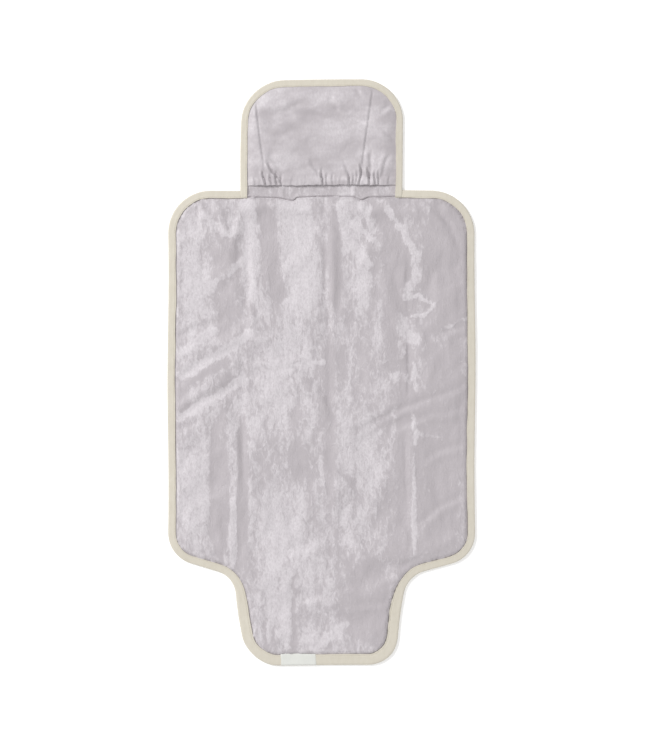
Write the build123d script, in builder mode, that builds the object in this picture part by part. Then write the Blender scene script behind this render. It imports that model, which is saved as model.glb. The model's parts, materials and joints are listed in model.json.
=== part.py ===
from build123d import *
import os
from math import radians, sin

# A travel changing pad, opened out and lying flat. Sizes are in millimetres.
# X runs across the pad, Y runs along it with the pocket at the +Y end, Z is up,
# and the origin is on the floor under the middle of the pad.

# Outline of the whole pad
pad_length = 749.0
pad_width = 392.0
main_corner_radius = 56.0  # the two corners beside the pocket flap
head_flap_length = 142.5
head_flap_width = 206.0
head_corner_radius = 53.0
foot_tab_length = 114.0  # from the foot end up to the neck
foot_neck_width = 219.0
foot_end_width = 189.0
foot_corner_radius = 43.0
shoulder_rise = 25.0  # the shoulder's outer end lies this far above its neck end
shoulder_radius = 41.0
neck_radius = 35.0

# Folding: the two sides, the foot flap and the pocket flap all turn in over the middle
centre_width = 220.0  # between the two long fold lines
foot_flap_length = 88.5  # from the foot fold line to the end
fold_gap = 0.8  # left open at each fold line
fold_limit = 179.0  # degrees
pile_clearance = 0.8  # between one folded layer and the next

# Cloth and wadding, as layers of height
pad_thickness = 5.0
cover_cloth = 0.4
crown_run = 10.0  # the pad's top slopes down to its rim over this width
tape_cloth = 0.6  # one turn of the binding tape
rim_thickness = 2.0  # covers and squeezed wadding inside the binding
interlining_thickness = 0.8

# Binding tape, folded round every edge
main_binding_width = 10.0
head_binding_width = 9.0
foot_binding_width = 14.0
binding_edge_radius = 1.2
seam_gap = 0.3  # from the binding's inner edge to where the pad starts to swell
thread_width = 0.5
thread_height = 0.3
stitch_inset = 1.3  # from the binding's inner edge to the row of stitching

# Pocket, sewn to the flap on three sides with its gathered mouth towards the pad
pocket_mouth_gap = 6.4  # from the flap's fold line to the mouth
pocket_height = 6.4  # from the lining up to the top of the closed pocket
pocket_slope_run = 20.0
pocket_seam_gap = 0.8
left_pleat_at_mouth = 69.5  # how far each pleat stands from the pad's middle line
left_pleat_at_seam = 88.5
right_pleat_at_mouth = 48.0
right_pleat_at_seam = 63.5
pleat_gap = 0.6
hem_width = 10.0
elastic_width = 6.0
elastic_thickness = 0.8
pocket_open_angle = 18.0  # degrees

# Label, sewn over the foot binding
label_length = 45.0
label_thickness = 0.4
label_gap = 0.3  # from the row of stitching
label_offset = 31.5  # left of the middle

# Heights and places worked out from the sizes above
binding_thickness = rim_thickness + 2 * tape_cloth
rim_low = tape_cloth
rim_high = tape_cloth + rim_thickness
lining_top = rim_low + cover_cloth + interlining_thickness + cover_cloth
pocket_top = lining_top + pocket_height
far = pad_length  # longer than any cut needs
head_end = pad_length / 2
foot_end = -pad_length / 2
head_fold_y = head_end - head_flap_length
foot_fold_y = foot_end + foot_flap_length
side_fold_x = centre_width / 2
neck_y = foot_end + foot_tab_length
shoulder_y = neck_y + shoulder_rise
mouth_y = head_fold_y + pocket_mouth_gap
pocket_inset = head_binding_width + seam_gap
pocket_hinge_y = head_end - pocket_inset

# Hinge heights: each fold turns about a line just above what lies under it
side_width = pad_width / 2 - side_fold_x
side_fold_z = pad_thickness + pile_clearance / 2
folded_side_top = 2 * side_fold_z + side_width * sin(radians(180 - fold_limit))
foot_fold_z = (folded_side_top + pile_clearance + pad_thickness) / 2
head_fold_z = (folded_side_top + pile_clearance + pocket_top) / 2

os.makedirs("parts", exist_ok=True)


def save(piece, name):
    piece.part.label = name
    export_step(piece.part, f"parts/{name}.step")


# Outlines, seen from above

with BuildSketch() as pad_outline:
    with BuildLine():
        FilletPolyline(
            (0, head_fold_y),
            (pad_width / 2, head_fold_y),
            (pad_width / 2, shoulder_y),
            (foot_neck_width / 2, neck_y),
            (foot_end_width / 2, foot_end),
            (0, foot_end),
            radius=[main_corner_radius, shoulder_radius, neck_radius, foot_corner_radius],
        )
        mirror(about=Plane.YZ)
    make_face()

# The flap's outline runs on past its fold line, so that insets leave that end open
with BuildSketch() as flap_outline:
    with BuildLine():
        FilletPolyline(
            (0, head_end),
            (head_flap_width / 2, head_end),
            (head_flap_width / 2, 0),
            radius=[head_corner_radius],
        )
        Line((head_flap_width / 2, 0), (0, 0))
        mirror(about=Plane.YZ)
    make_face()


# Shapes that the sewn pieces are cut from


def slab(outline, inset, low, high):
    """A flat layer of the outline, drawn in by inset."""
    with BuildPart() as layer:
        with BuildSketch(Plane.XY.offset(low)):
            add(outline.sketch)
            if inset:
                offset(amount=-inset, kind=Kind.INTERSECTION)
        extrude(amount=high - low)
    return layer.part


def crown(outline, inset, low, high, drop, run):
    """A layer whose top slopes down by drop over its outer run."""
    with BuildPart() as layer:
        add(slab(outline, inset, low, high))
        upper = layer.faces().sort_by(Axis.Z)[-1]
        chamfer(upper.edges(), length=run, length2=drop, reference=upper)
    return layer.part


def area(x_low, x_high, y_low, y_high):
    """Everything over one rectangle of floor."""
    with BuildPart() as column:
        with BuildSketch(Plane.XY.offset(-far)):
            with Locations(((x_low + x_high) / 2, (y_low + y_high) / 2)):
                Rectangle(x_high - x_low, y_high - y_low)
        extrude(amount=2 * far)
    return column.part


def share_over(shape, one):
    """The part of a shape that lies over one area."""
    with BuildPart() as share:
        add(shape)
        add(one, mode=Mode.INTERSECT)
    return share.part


def cut_from(shape, *areas):
    """The parts of a shape that lie over the areas, as one piece of work."""
    shares = [share_over(shape, one) for one in areas]
    with BuildPart() as kept:
        for share in shares:
            add(share)
    return kept


def binding(outline, width):
    """Tape folded round an edge, with a slot where the rim of the pad lies."""
    with BuildPart() as tape:
        add(slab(outline, 0, 0, binding_thickness))
        fillet(tape.faces().filter_by(Axis.Z).edges(), radius=binding_edge_radius)
        add(slab(outline, width, -far, far), mode=Mode.SUBTRACT)
        add(slab(outline, tape_cloth, rim_low, rim_high), mode=Mode.SUBTRACT)
    return tape.part


def stitching(outline, width):
    """One row of thread along a binding's inner edge."""
    inset = width - stitch_inset
    with BuildPart() as thread:
        add(slab(outline, inset, binding_thickness, binding_thickness + thread_height))
        add(slab(outline, inset + thread_width, 0, far), mode=Mode.SUBTRACT)
    return thread.part


def front_cover(outline, width):
    """The top cloth: flat in the binding, then up over the wadding."""
    edge = width + seam_gap
    drop = pad_thickness - rim_high
    with BuildPart() as cover:
        add(slab(outline, tape_cloth, rim_high - cover_cloth, rim_high))
        add(crown(outline, edge, rim_high - cover_cloth, pad_thickness, drop, crown_run))
        under = crown(outline, edge, -far, pad_thickness - cover_cloth, drop, crown_run)
        add(under, mode=Mode.SUBTRACT)
    return cover.part


def back_cover(outline, width):
    """The cloth underneath: on the floor in the middle, lifted into the binding."""
    edge = width + seam_gap
    with BuildPart() as cover:
        add(slab(outline, tape_cloth, rim_low, rim_low + cover_cloth))
        add(slab(outline, edge, 0, rim_low + cover_cloth))
        add(slab(outline, edge + cover_cloth, cover_cloth, far), mode=Mode.SUBTRACT)
    return cover.part


def wadding(outline, width):
    """The padding between the covers, squeezed flat where the binding holds it."""
    edge = width + seam_gap
    drop = pad_thickness - rim_high
    squeezed_low = rim_low + cover_cloth
    with BuildPart() as filling:
        add(slab(outline, tape_cloth, squeezed_low, rim_high - cover_cloth))
        add(crown(outline, edge, squeezed_low, pad_thickness - cover_cloth, drop, crown_run))
        add(slab(outline, edge + cover_cloth, cover_cloth, squeezed_low))
    return filling.part


# The padded panels, each with its own share of the covers, wadding and binding

half_gap = fold_gap / 2
inner_x = side_fold_x - half_gap
outer_x = side_fold_x + half_gap
corner_x = head_flap_width / 2 - head_binding_width
centre_low = foot_fold_y + half_gap
centre_high = head_fold_y - half_gap

panel_areas = {
    "centre": area(-inner_x, inner_x, centre_low, centre_high),
    "left": area(-far, -outer_x, foot_fold_y, far),
    "right": area(outer_x, far, foot_fold_y, far),
    "foot": area(-far, far, -far, foot_fold_y - half_gap),
}
panel_bindings = {
    "centre": main_binding_width,
    "left": main_binding_width,
    "right": main_binding_width,
    "foot": foot_binding_width,
}

for panel, over in panel_areas.items():
    for layer, shape in {
        "front_cover": front_cover,
        "wadding": wadding,
        "back_cover": back_cover,
    }.items():
        save(cut_from(shape(pad_outline, panel_bindings[panel]), over), f"{panel}_{layer}")

for panel in ("left", "right", "foot"):
    width = panel_bindings[panel]
    save(cut_from(binding(pad_outline, width), panel_areas[panel]), f"{panel}_binding")
    save(cut_from(stitching(pad_outline, width), panel_areas[panel]), f"{panel}_stitching")

# Short lengths of the binding stay with the middle, at its two upper and two lower corners
upper_corners = [
    area(corner_x, inner_x, 0, centre_high),
    area(-inner_x, -corner_x, 0, centre_high),
]
lower_corners = [
    area(0, inner_x, centre_low, 0),
    area(-inner_x, 0, centre_low, 0),
]
main_binding = binding(pad_outline, main_binding_width)
save(cut_from(main_binding, *upper_corners), "centre_head_corner_bindings")
save(cut_from(main_binding, *lower_corners), "centre_foot_corner_bindings")
main_stitching = stitching(pad_outline, main_binding_width)
save(cut_from(main_stitching, *upper_corners, *lower_corners), "centre_stitching")

# The pocket flap: thinner than the pad, with the lining that is the pocket's back wall

flap_area = area(-far, far, head_fold_y + half_gap, far)
interlining_low = rim_low + cover_cloth
lining_low = lining_top - cover_cloth
for name, low, high in (
    ("flap_back_cover", rim_low, interlining_low),
    ("flap_interlining", interlining_low, lining_low),
    ("flap_lining", lining_low, lining_top),
):
    save(cut_from(slab(flap_outline, tape_cloth, low, high), flap_area), name)

save(cut_from(binding(flap_outline, head_binding_width), flap_area), "flap_binding")
save(cut_from(stitching(flap_outline, head_binding_width), flap_area), "flap_stitching")

# The pocket: one swelling shape, sliced by depth into panel, elastic and hem


def pocket_swell(depth):
    """The pocket's outer shape, lowered by depth, with a sheer drop below its slopes."""
    drop = pocket_height - cover_cloth
    return crown(flap_outline, pocket_inset, -far, pocket_top - depth, drop, pocket_slope_run)


def pocket_layer(depth, thickness, y_low, y_high):
    """What lies between two depths of the pocket's front, above the lining."""
    with BuildPart() as layer:
        add(pocket_swell(depth))
        add(pocket_swell(depth + thickness), mode=Mode.SUBTRACT)
        add(area(-far, far, y_low, y_high), mode=Mode.INTERSECT)
        with BuildSketch(Plane.XY.offset(lining_top)):
            Rectangle(2 * far, 2 * far)
        extrude(amount=far, mode=Mode.INTERSECT)
    return layer.part


def beside_pleats(left, widen):
    """Everything beyond one pleat line, which moves out from the middle by widen."""
    sign = -1 if left else 1
    at_mouth = sign * ((left_pleat_at_mouth if left else right_pleat_at_mouth) + widen)
    at_seam = sign * ((left_pleat_at_seam if left else right_pleat_at_seam) + widen)
    slope = (at_seam - at_mouth) / (pocket_hinge_y - mouth_y)
    low, high = mouth_y - far, mouth_y + far
    with BuildPart() as beyond:
        with BuildSketch(Plane.XY.offset(-far)):
            with BuildLine():
                Polyline(
                    (at_mouth - far * slope, low),
                    (at_mouth + far * slope, high),
                    (sign * 2 * far, high),
                    (sign * 2 * far, low),
                    close=True,
                )
            make_face()
        extrude(amount=2 * far)
    return beyond.part


hem_depth = cover_cloth + elastic_thickness
hem_turn = mouth_y + cover_cloth
hem_end = mouth_y + hem_width
elastic_low = mouth_y + (hem_width - elastic_width) / 2

with BuildPart() as pocket_cloth:
    add(pocket_layer(0, cover_cloth, mouth_y, far))

with BuildPart() as hem_casing:
    add(pocket_layer(cover_cloth, hem_depth, mouth_y, hem_turn))
    add(pocket_layer(hem_depth, cover_cloth, hem_turn, hem_end))

with BuildPart() as elastic:
    add(pocket_layer(cover_cloth, elastic_thickness, elastic_low, elastic_low + elastic_width))

with BuildPart() as seam_allowance:
    add(slab(flap_outline, tape_cloth, lining_top, lining_top + cover_cloth))
    add(slab(flap_outline, pocket_inset, 0, far), mode=Mode.SUBTRACT)
    add(area(-far, far, mouth_y, far), mode=Mode.INTERSECT)

left_side = beside_pleats(True, pleat_gap / 2)
right_side = beside_pleats(False, pleat_gap / 2)

with BuildPart() as between_pleats:
    add(area(-far, far, mouth_y - far, pocket_hinge_y - pocket_seam_gap))
    add(beside_pleats(True, -pleat_gap / 2), mode=Mode.SUBTRACT)
    add(beside_pleats(False, -pleat_gap / 2), mode=Mode.SUBTRACT)

for side, over in {"left": left_side, "right": right_side}.items():
    with BuildPart() as side_panel:
        add(cut_from(pocket_cloth.part, over).part)
        add(cut_from(seam_allowance.part, over).part)
    save(side_panel, f"pocket_{side}_panel")

middle = between_pleats.part
save(cut_from(pocket_cloth.part, middle), "pocket_front_panel")
save(cut_from(hem_casing.part, middle), "pocket_hem_casing")
save(cut_from(elastic.part, middle), "pocket_elastic")
save(cut_from(hem_casing.part, left_side, right_side), "pocket_hem_casing_ends")
save(cut_from(elastic.part, left_side, right_side), "pocket_elastic_ends")

# The label, a plain woven tape sewn on over the foot binding

label_width = foot_binding_width - stitch_inset - label_gap - binding_edge_radius

with BuildPart() as label:
    with BuildSketch(Plane.XY.offset(binding_thickness)):
        with Locations((-label_offset, foot_end + binding_edge_radius + label_width / 2)):
            Rectangle(label_length, label_width)
    extrude(amount=label_thickness)
save(label, "label")

# Hinge lines: a point on each, the way the piece turns, and how far
hinges = {
    "left_fold": ((-side_fold_x, 0, side_fold_z), (0, 1, 0), fold_limit),
    "right_fold": ((side_fold_x, 0, side_fold_z), (0, -1, 0), fold_limit),
    "foot_fold": ((0, foot_fold_y, foot_fold_z), (-1, 0, 0), fold_limit),
    "head_fold": ((0, head_fold_y, head_fold_z), (1, 0, 0), fold_limit),
    "pocket_mouth": ((0, pocket_hinge_y, lining_top), (1, 0, 0), -pocket_open_angle),
}
for name, (point, axis, limit) in hinges.items():
    print(name, [round(value, 3) for value in point], axis, limit)
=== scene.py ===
import json
import math

import bpy
import numpy as np
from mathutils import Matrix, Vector, noise


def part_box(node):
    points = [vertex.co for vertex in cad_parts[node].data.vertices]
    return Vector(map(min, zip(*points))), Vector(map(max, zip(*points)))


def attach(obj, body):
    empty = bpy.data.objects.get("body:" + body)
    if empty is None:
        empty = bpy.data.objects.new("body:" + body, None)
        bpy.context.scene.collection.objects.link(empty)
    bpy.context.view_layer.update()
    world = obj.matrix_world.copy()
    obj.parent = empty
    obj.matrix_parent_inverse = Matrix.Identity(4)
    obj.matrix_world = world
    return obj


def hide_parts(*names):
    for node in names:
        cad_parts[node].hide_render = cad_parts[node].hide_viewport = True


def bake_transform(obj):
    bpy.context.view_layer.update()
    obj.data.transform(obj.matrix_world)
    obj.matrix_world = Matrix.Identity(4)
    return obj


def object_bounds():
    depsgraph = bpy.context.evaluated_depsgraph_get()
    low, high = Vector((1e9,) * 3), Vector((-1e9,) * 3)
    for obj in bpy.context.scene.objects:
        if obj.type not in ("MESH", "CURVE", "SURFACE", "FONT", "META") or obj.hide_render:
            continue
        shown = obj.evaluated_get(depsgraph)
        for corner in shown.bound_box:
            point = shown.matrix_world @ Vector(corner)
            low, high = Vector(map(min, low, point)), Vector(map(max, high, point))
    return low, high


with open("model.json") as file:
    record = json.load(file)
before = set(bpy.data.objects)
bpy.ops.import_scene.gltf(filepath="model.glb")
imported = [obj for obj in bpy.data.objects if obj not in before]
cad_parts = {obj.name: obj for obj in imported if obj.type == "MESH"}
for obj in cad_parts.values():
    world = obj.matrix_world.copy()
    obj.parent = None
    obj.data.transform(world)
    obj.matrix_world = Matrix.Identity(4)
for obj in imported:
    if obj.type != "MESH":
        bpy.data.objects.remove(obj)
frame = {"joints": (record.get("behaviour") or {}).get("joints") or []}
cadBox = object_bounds()
print("frame loaded")

# Places that the frame settles, in metres
hinge = {joint["name"]: Vector(joint["pos_m"]) for joint in frame["joints"]}
halfWidth = cadBox[1].x
headEnd = cadBox[1].y
footEnd = cadBox[0].y
headFold = hinge["head_fold"].y
sideFold = hinge["right_fold"].x
footFold = hinge["foot_fold"].y
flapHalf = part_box("flap_binding")[1].x
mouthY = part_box("pocket_front_panel")[0].y

# The pad's plan, corner by corner
plan = dict(
    mainCorner=0.056, shoulder=0.041, neck=0.035, footCorner=0.043, headCorner=0.053,
    neckHalf=0.1095, footHalf=0.0945, neckAboveFoot=0.114, shoulderRise=0.025,
)

# Where each fold starts and stops bending
fold = dict(
    sideStart=sideFold - 0.002, sideEnd=sideFold + 0.014,
    footStart=footFold + 0.0045, footEnd=footFold - 0.0155,
    headStart=headFold - 0.008, headEnd=headFold + 0.008,
    pocketStart=0.090, pocketEnd=0.042,
)
foldPlanes = [
    ((-fold["sideStart"], 0, 0), (1, 0, 0)), ((fold["sideStart"], 0, 0), (1, 0, 0)),
    ((0, fold["footStart"], 0), (0, 1, 0)),
]

tape = dict(
    main=0.0097, head=0.0086, foot=0.0140, cut=0.011,
    step=0.004, ridge=0.0012, wobble=0.0008, slack=0.00034,
)


def clearSelection():
    bpy.ops.object.select_all(action="DESELECT")


def editMesh():
    bpy.ops.object.mode_set(mode="EDIT")


def leaveMesh():
    bpy.ops.object.mode_set(mode="OBJECT")


def selectAll():
    bpy.ops.mesh.select_all(action="SELECT")


def selectNone():
    bpy.ops.mesh.select_all(action="DESELECT")


def extrude(move):
    bpy.ops.mesh.extrude_region_move(TRANSFORM_OT_translate={"value": move})


def link(piece):
    bpy.context.scene.collection.objects.link(piece)


def smooth(piece):
    for face in piece.data.polygons:
        face.use_smooth = True


def pick(piece):
    clearSelection()
    piece.select_set(True)
    bpy.context.view_layer.objects.active = piece


def freeze(piece):
    pick(piece)
    bpy.ops.object.transform_apply(location=True, rotation=True, scale=True)


def points(piece):
    flat = np.empty(len(piece.data.vertices) * 3, np.float64)
    piece.data.vertices.foreach_get("co", flat)
    return flat.reshape(-1, 3)


def movePoints(piece, places):
    piece.data.vertices.foreach_set("co", np.asarray(places, np.float64).ravel())
    piece.data.update()


def applyLast(piece):
    bpy.ops.object.modifier_apply(modifier=piece.modifiers[-1].name)


def thicken(piece, thickness):
    pick(piece)
    bpy.ops.object.modifier_add(type="SOLIDIFY")
    piece.modifiers[-1].thickness = thickness
    applyLast(piece)


def choose(piece, chosen):
    # selects just these vertices, ready for edit mode
    pick(piece)
    editMesh()
    bpy.ops.mesh.select_mode(type="VERT")
    selectNone()
    leaveMesh()
    piece.data.vertices.foreach_set("select", np.asarray(chosen, bool))


def removePoints(piece, chosen):
    choose(piece, chosen)
    editMesh()
    bpy.ops.mesh.delete(type="VERT")
    leaveMesh()


def edgePoints(piece):
    # the vertices on the open edge of a sheet
    uses = {}
    for face in piece.data.polygons:
        for key in face.edge_keys:
            uses[key] = uses.get(key, 0) + 1
    return sorted({v for key, count in uses.items() if count == 1 for v in key})


def ease(t):
    t = np.clip(t, 0, 1)
    return t * t * (3 - 2 * t)


def hump(off, width):
    return np.exp(-(off / width) ** 2)


def ripple(x, y, across, along, seed, octaves=2):
    # uneven from about -1 to 1, with waves of these sizes across and along the pad
    return np.array([
        noise.fractal((a / across, b / along, seed), 1.0, 2.0, octaves) for a, b in zip(x, y)
    ])


def runsAndTurns(corners):
    # corners are (x, y, radius); the first and last are plain ends
    pieces = []
    here = Vector(corners[0][:2])
    for i in range(1, len(corners) - 1):
        corner = Vector(corners[i][:2])
        into = (corner - Vector(corners[i - 1][:2])).normalized()
        out = (Vector(corners[i + 1][:2]) - corner).normalized()
        turn = math.atan2(into.x * out.y - into.y * out.x, into.dot(out))
        radius = corners[i][2]
        back = radius * math.tan(abs(turn) / 2)
        start = corner - into * back
        left = Vector((-into.y, into.x)) * (1 if turn > 0 else -1)
        pieces.append(("run", here, start))
        pieces.append(("turn", start + left * radius, radius, turn, start))
        here = corner + out * back
    pieces.append(("run", here, Vector(corners[-1][:2])))
    return pieces


def alongPath(corners, step):
    # evenly spaced points on the path
    found = []
    for part in runsAndTurns(corners):
        if part[0] == "run":
            start, end = part[1:]
            count = max(1, math.ceil((end - start).length / step))
            found += [start.lerp(end, i / count) for i in range(count)]
        else:
            centre, radius, turn, start = part[1:]
            count = max(2, math.ceil(radius * abs(turn) / step))
            arm = start - centre
            for i in range(count):
                angle = turn * i / count
                found.append(centre + Vector((
                    arm.x * math.cos(angle) - arm.y * math.sin(angle),
                    arm.x * math.sin(angle) + arm.y * math.cos(angle),
                )))
    found.append(Vector(corners[-1][:2]))
    return np.array([(p.x, p.y) for p in found])


neckY = footEnd + plan["neckAboveFoot"]
shoulderY = neckY + plan["shoulderRise"]
rightEdge = [
    (0, headFold, 0),
    (halfWidth, headFold, plan["mainCorner"]),
    (halfWidth, shoulderY, plan["shoulder"]),
    (plan["neckHalf"], neckY, plan["neck"]),
    (plan["footHalf"], footEnd, plan["footCorner"]),
    (0, footEnd, 0),
]
flapEdge = [
    (flapHalf, headFold - tape["main"], 0),
    (flapHalf, headEnd, plan["headCorner"]),
    (-flapHalf, headEnd, plan["headCorner"]),
    (-flapHalf, headFold - tape["main"], 0),
]


def mirrored(corners):
    return [(-x, y, radius) for x, y, radius in reversed(corners)]


padPath = alongPath(rightEdge + mirrored(rightEdge)[1:], 0.0012)
flapPath = alongPath(flapEdge, 0.0012)


def nearest(places, path):
    # how far each place is from the path, and the path's nearest point
    away, spot = [], []
    for some in np.array_split(places[:, :2], max(1, len(places) // 2000)):
        gaps = np.linalg.norm(some[:, None] - path[None], axis=2)
        index = gaps.argmin(1)
        away.append(gaps[np.arange(len(some)), index])
        spot.append(path[index])
    return np.concatenate(away), np.concatenate(spot)


def inside(places, path):
    x, y = places[:, 0], places[:, 1]
    within = np.zeros(len(places), bool)
    ends = np.roll(path, -1, axis=0)
    for (ax, ay), (bx, by) in zip(path, ends):
        if ay == by:
            continue
        crosses = (ay > y) != (by > y)
        within ^= crosses & (x < (bx - ax) * (y - ay) / (by - ay) + ax)
    return within


def tapeWidth(y):
    # the tape is wider round the foot than along the sides
    return tape["main"] + (tape["foot"] - tape["main"]) * ease((-y - 0.255) / 0.05)


def settle(places):
    # the sewn pad never lies quite true: the foot sits a little left, and the edges wander
    x, y = places[:, 0].copy(), places[:, 1].copy()
    places[:, 0] += -0.0026 * hump(y + 0.305, 0.045) + 0.0022 * ease((-y - 0.335) / 0.035)
    places[:, 0] += 0.0007 * np.sin(y * 23 + np.sign(x) * 1.3) * np.clip(np.abs(x) / 0.1, 0, 1)
    places[:, 0] += 0.0012 * ease((y - 0.28) / 0.08)
    places[:, 1] += 0.0006 * np.sin(x * 21 + 0.6) * np.clip(np.abs(y) / 0.2, 0, 1)
    places[:, 1] -= 0.0012 * ease((y - 0.25) / 0.1)
    places[:, 1] -= 0.0016 * ease((-x - 0.02) / 0.1) * ease((y - 0.33) / 0.04)
    return places


def setInputs(node, values):
    for name, value in values.items():
        node.inputs[name].default_value = value


def newMaterial(name):
    material = bpy.data.materials.new(name)
    material.use_nodes = True
    tree = material.node_tree
    return material, tree, tree.nodes["Principled BSDF"]


def mapped(tree, scale=(1, 1, 1), turn=0.0):
    # Object coordinates, stretched and turned
    place = tree.nodes.new("ShaderNodeTexCoord")
    mapping = tree.nodes.new("ShaderNodeMapping")
    setInputs(mapping, {"Scale": scale, "Rotation": (0, 0, turn)})
    tree.links.new(place.outputs["Object"], mapping.inputs["Vector"])
    return mapping.outputs["Vector"]


def noiseNode(tree, stretch, detail, roughness=0.55, distortion=0.0, turn=0.0):
    node = tree.nodes.new("ShaderNodeTexNoise")
    setInputs(node, {
        "Scale": 1, "Detail": detail, "Roughness": roughness, "Distortion": distortion,
    })
    tree.links.new(mapped(tree, stretch, turn), node.inputs["Vector"])
    return node.outputs["Fac"]


def mathNode(tree, kind, a, b=None, clamp=False):
    node = tree.nodes.new("ShaderNodeMath")
    node.operation = kind
    node.use_clamp = clamp
    for socket, value in zip(node.inputs, (a, b)):
        if value is None:
            continue
        if isinstance(value, (int, float)):
            socket.default_value = value
        else:
            tree.links.new(value, socket)
    return node.outputs["Value"]


def plus(tree, a, b, clamp=False):
    return mathNode(tree, "ADD", a, b, clamp)


def less(tree, a, b):
    return mathNode(tree, "SUBTRACT", a, b)


def times(tree, a, b):
    return mathNode(tree, "MULTIPLY", a, b)


def blendColours(tree, share, dark, light):
    node = tree.nodes.new("ShaderNodeMix")
    node.data_type = "RGBA"
    tree.links.new(share, node.inputs["Factor"])
    for socket, colour in ((node.inputs["A"], dark), (node.inputs["B"], light)):
        if isinstance(colour, tuple):
            socket.default_value = (*colour, 1)
        else:
            tree.links.new(colour, socket)
    return node.outputs["Result"]


def bump(tree, shader, height, distance, strength=1.0, under=None):
    node = tree.nodes.new("ShaderNodeBump")
    setInputs(node, {"Strength": strength, "Distance": distance})
    tree.links.new(height, node.inputs["Height"])
    if under is not None:
        tree.links.new(under, node.inputs["Normal"])
    tree.links.new(node.outputs["Normal"], shader.inputs["Normal"])
    return node.outputs["Normal"]


# The satin's dark and light colours, blended by its painted sheen
satinLook = dict(
    dark=(0.508, 0.470, 0.491), light=(0.700, 0.660, 0.686),
    streakScale=(44, 14, 44), glintScale=(430, 260, 430), edge=0.135,
    roughness=0.42, crinkle=0.0011, weave=0.00006,
)


def makeSatin(name, look, calm=0.0):
    material, tree, shader = newMaterial(name)
    shine = tree.nodes.new("ShaderNodeAttribute")
    shine.attribute_name = "shine"
    streaks = noiseNode(tree, look["streakScale"], 8.0, 0.68, 0.35)
    fine = noiseNode(tree, (190, 85, 190), 5.0, 0.7, 0.8)
    glintNoise = noiseNode(tree, look["glintScale"], 3.0, 0.6)
    # the painted shine decides how much of the cloth catches light; the streaks break it up
    lift = plus(tree, shine.outputs["Fac"], times(tree, less(tree, streaks, 0.5), 1.7 - calm))
    lift = plus(tree, lift, times(tree, less(tree, fine, 0.5), 1.6 - calm * 1.2))
    ramp = tree.nodes.new("ShaderNodeMapRange")
    ramp.interpolation_type = "SMOOTHSTEP"
    setInputs(ramp, {"From Min": 0.5 - look["edge"] * 1.5, "From Max": 0.5 + look["edge"] * 2.2})
    tree.links.new(lift, ramp.inputs["Value"])
    caught = ramp.outputs["Result"]
    # where it catches light, painted glints: fine flecks and hairline crinkle highlights lighten
    # the crushed cloth
    glints = times(tree, less(tree, glintNoise, 0.5), 1.7)
    crinkleGlints = noiseNode(tree, (62, 40, 62), 2.5, 0.6, 1.6, turn=0.35)
    crinkleGlints = mathNode(tree, "ABSOLUTE", less(tree, crinkleGlints, 0.5))
    thin = tree.nodes.new("ShaderNodeMapRange")
    setInputs(thin, {
        "From Min": 0.0, "From Max": 0.022, "To Min": 0.34 - 0.14 * calm, "To Max": 0.0,
    })
    tree.links.new(crinkleGlints, thin.inputs["Value"])
    glints = plus(tree, glints, thin.outputs["Result"])
    glints = times(tree, glints, plus(tree, times(tree, caught, 0.75), 0.22))
    share = plus(tree, times(tree, caught, 0.78), glints, clamp=True)
    # painted sheen and glints blend the base colour from dark to light
    colour = blendColours(tree, share, look["dark"], look["light"])
    tree.links.new(colour, shader.inputs["Base Color"])
    rough = tree.nodes.new("ShaderNodeMapRange")
    setInputs(rough, {"To Min": look["roughness"], "To Max": look["roughness"] + 0.09})
    tree.links.new(caught, rough.inputs["Value"])
    tree.links.new(rough.outputs["Result"], shader.inputs["Roughness"])
    setInputs(shader, {"Sheen Weight": 0.15, "Sheen Roughness": 0.4, "Specular IOR Level": 0.42})
    weave = noiseNode(tree, (2600, 700, 1500), 2.0)
    cloth = bump(tree, shader, weave, look["weave"], 0.5)
    bump(tree, shader, lift, look["crinkle"], 0.55, cloth)
    return material


def makeCotton(name, dark, light, weaveSize=1250):
    material, tree, shader = newMaterial(name)
    bands = []
    for direction in ("X", "Y"):
        wave = tree.nodes.new("ShaderNodeTexWave")
        wave.bands_direction = direction
        setInputs(wave, {"Scale": weaveSize / 6.3, "Distortion": 0.6})
        tree.links.new(mapped(tree), wave.inputs["Vector"])
        bands.append(wave.outputs["Fac"])
    threads = times(tree, *bands)
    slubs = noiseNode(tree, (240, 90, 240), 4.0, 0.6)
    mottle = noiseNode(tree, (30, 30, 30), 3.0)
    share = plus(tree, times(tree, slubs, 0.55), times(tree, threads, 0.3))
    share = plus(tree, share, times(tree, mottle, 0.35), clamp=True)
    tree.links.new(blendColours(tree, share, dark, light), shader.inputs["Base Color"])
    setInputs(shader, {"Roughness": 0.82, "Sheen Weight": 0.25, "Specular IOR Level": 0.3})
    weave = bump(tree, shader, threads, 0.00009, 0.6)
    bump(tree, shader, slubs, 0.0003, 0.5, weave)
    return material


satin = makeSatin("satin", satinLook)
# the pocket's satin has the same painted sheen, in broader and calmer patches
pocketLook = dict(satinLook, streakScale=(15, 26, 15), edge=0.3)
pocketSatin = makeSatin("pocketSatin", pocketLook, calm=0.9)
# the backing's own darker colours, with the same painted sheen at less contrast
backing = makeSatin("backing", dict(
    satinLook, dark=(0.452, 0.418, 0.438), light=(0.575, 0.536, 0.560), edge=0.26, roughness=0.60,
    crinkle=0.0014, weave=0.00012,
), calm=0.5)
cotton = makeCotton("cotton", (0.585, 0.54, 0.447), (0.765, 0.722, 0.632))
# the thread's own cream, made a little darker than the tape's as painted shade of the groove it
# lies in
threadCloth = makeCotton("thread", (0.56, 0.51, 0.41), (0.73, 0.68, 0.58), 3000)
labelCloth = makeCotton("labelCloth", (0.69, 0.697, 0.655), (0.83, 0.838, 0.80), 2200)
print("materials made")


def twoSided(piece, front, back):
    piece.data.materials.clear()
    piece.data.materials.append(front)
    piece.data.materials.append(back)
    down = [face.normal.z < -0.25 for face in piece.data.polygons]
    piece.data.polygons.foreach_set("material_index", np.array(down, np.int32))


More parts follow.
